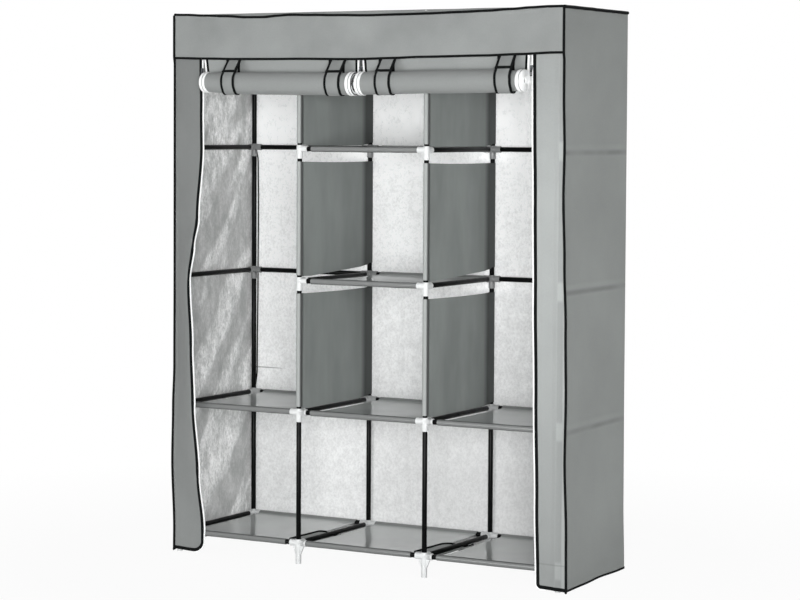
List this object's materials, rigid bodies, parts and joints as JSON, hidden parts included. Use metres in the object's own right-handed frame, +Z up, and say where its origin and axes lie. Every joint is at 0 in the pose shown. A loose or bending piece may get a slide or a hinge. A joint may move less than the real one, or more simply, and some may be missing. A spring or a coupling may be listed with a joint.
{
  "type": "portable fabric wardrobe",
  "caption": "Free-standing fabric wardrobe: steel-tube frame in plastic connectors, cloth shelves and dividers, open hanging sides, and a cover with zips and roll-up doors held by straps.",
  "frame": {"origin": "on the floor, at the middle of the whole outline seen from above, the rolled doors and their straps included", "axes": "+Z up, +X to the right seen from the front, and the open front faces -Y"},
  "size_m": [1.251, 0.4733, 1.5665],
  "materials": {
    "tube": "satin",
    "connector": "satin",
    "shelf_cloth": "matte",
    "divider_cloth": "matte",
    "cover_cloth": "matte",
    "lining": "matte",
    "strap": "matte",
    "binding": "matte",
    "zip_tape": "matte",
    "zip_metal": "satin"
  },
  "bodies": {
    "wardrobe": {"side_frame_left_outer": "tube", "side_frame_left_inner": "tube", "side_frame_right_inner": "tube", "side_frame_right_outer": "tube", "rail_bottom_front_left": "tube", "rail_bottom_front_centre": "tube", "rail_bottom_front_right": "tube", "rail_bottom_rear_left": "tube", "rail_bottom_rear_centre": "tube", "rail_bottom_rear_right": "tube", "rail_lower_front_left": "tube", "rail_lower_front_centre": "tube", "rail_lower_front_right": "tube", "rail_lower_rear_left": "tube", "rail_lower_rear_centre": "tube", "rail_lower_rear_right": "tube", "rail_middle_front_centre": "tube", "rail_middle_rear_left": "tube", "rail_middle_rear_centre": "tube", "rail_middle_rear_right": "tube", "rail_upper_front_centre": "tube", "rail_upper_rear_left": "tube", "rail_upper_rear_centre": "tube", "rail_upper_rear_right": "tube", "rail_top_front_left": "tube", "rail_top_front_centre": "tube", "rail_top_front_right": "tube", "rail_top_rear_left": "tube", "rail_top_rear_centre": "tube", "rail_top_rear_right": "tube", "hanging_rod_left": "tube", "hanging_rod_right": "tube", "shelf_bottom_left": "shelf_cloth", "shelf_bottom_centre": "shelf_cloth", "shelf_bottom_right": "shelf_cloth", "shelf_lower_left": "shelf_cloth", "shelf_lower_centre": "shelf_cloth", "shelf_lower_right": "shelf_cloth", "shelf_middle_centre": "shelf_cloth", "shelf_upper_centre": "shelf_cloth", "divider_lower_left": "divider_cloth", "divider_lower_right": "divider_cloth", "divider_middle_left": "divider_cloth", "divider_middle_right": "divider_cloth", "divider_upper_left": "divider_cloth", "divider_upper_right": "divider_cloth", "cover_roof": "cover_cloth", "cover_back": "lining", "cover_side_left": "cover_cloth", "cover_side_right": "cover_cloth", "cover_valance": "cover_cloth", "cover_strip_left": "cover_cloth", "cover_strip_right": "cover_cloth", "strap_pair_left": "strap", "strap_pair_right": "strap"},
    "door_left": {"door_roll_left": "cover_cloth"},
    "door_right": {"door_roll_right": "cover_cloth"},
    "zip_left": {"zip_slider_left": "zip_metal"},
    "zip_centre": {"zip_slider_centre": "zip_metal"},
    "zip_right": {"zip_slider_right": "zip_metal"}
  },
  "joints": [
    {"name": "door_left_unroll", "type": "slide", "parent": "wardrobe", "child": "door_left", "axis": [0, 0, -1], "range_m": [0, 1.335], "deforming": ["strap_pair_left"]},
    {"name": "door_right_unroll", "type": "slide", "parent": "wardrobe", "child": "door_right", "axis": [0, 0, -1], "range_m": [0, 1.335], "deforming": ["strap_pair_right"]},
    {"name": "zip_left_slide", "type": "slide", "parent": "wardrobe", "child": "zip_left", "axis": [0, 0, -1], "range_m": [0, 1.367]},
    {"name": "zip_centre_slide", "type": "slide", "parent": "wardrobe", "child": "zip_centre", "axis": [0, 0, -1], "range_m": [0, 1.335]},
    {"name": "zip_right_slide", "type": "slide", "parent": "wardrobe", "child": "zip_right", "axis": [0, 0, -1], "range_m": [0, 1.367]}
  ],
  "couplings": [
    {"joint": "zip_centre_slide", "follows": "door_left_unroll", "ratio": 1}
  ]
}
